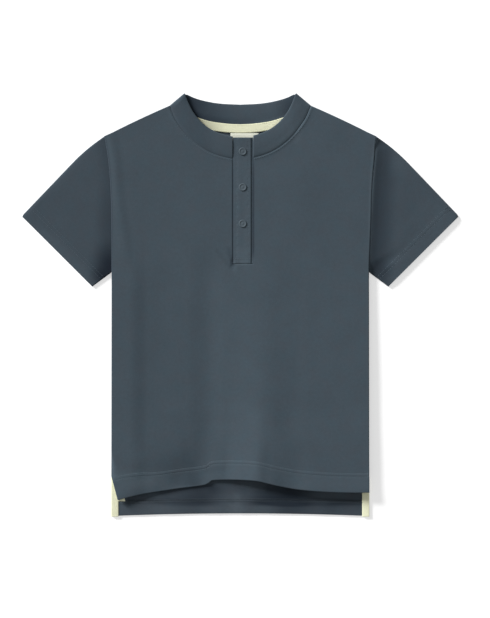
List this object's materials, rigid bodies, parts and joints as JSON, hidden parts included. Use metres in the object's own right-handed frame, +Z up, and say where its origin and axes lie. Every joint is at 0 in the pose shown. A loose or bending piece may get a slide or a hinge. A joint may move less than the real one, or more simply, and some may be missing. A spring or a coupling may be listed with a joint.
{
  "type": "band-collar short-sleeved shirt",
  "caption": "Child's short-sleeved jersey shirt laid flat on its back, with a band collar, a snapped half placket, a longer back and taped side vents.",
  "frame": {"origin": "on the surface that the shirt lies on, below the middle of the laid outline's box", "axes": "+X across the shirt towards the sleeve on the viewer's right, +Y towards the collar, +Z up from the surface through the front"},
  "size_m": [0.5454, 0.5283, 0.0102],
  "materials": {
    "jersey": "dark slate cotton jersey, matt, with a soft nap",
    "tape": "pale cream cotton herringbone tape, matt",
    "label": "pale cream woven label, blank",
    "snap": "slate resin with a soft shine"
  },
  "bodies": {
    "root": {"back": "jersey", "front": "jersey", "sleeve_left": "jersey", "sleeve_right": "jersey", "collar": "jersey", "placket_under": "jersey", "placket_top": "jersey", "neck_tape": "tape", "neck_label": "label", "vent_tape_back_left": "tape", "vent_tape_back_right": "tape", "vent_tape_front_left": "tape", "vent_tape_front_right": "tape", "snap_upper": "snap", "snap_middle": "snap", "snap_lower": "snap"}
  },
  "joints": []
}
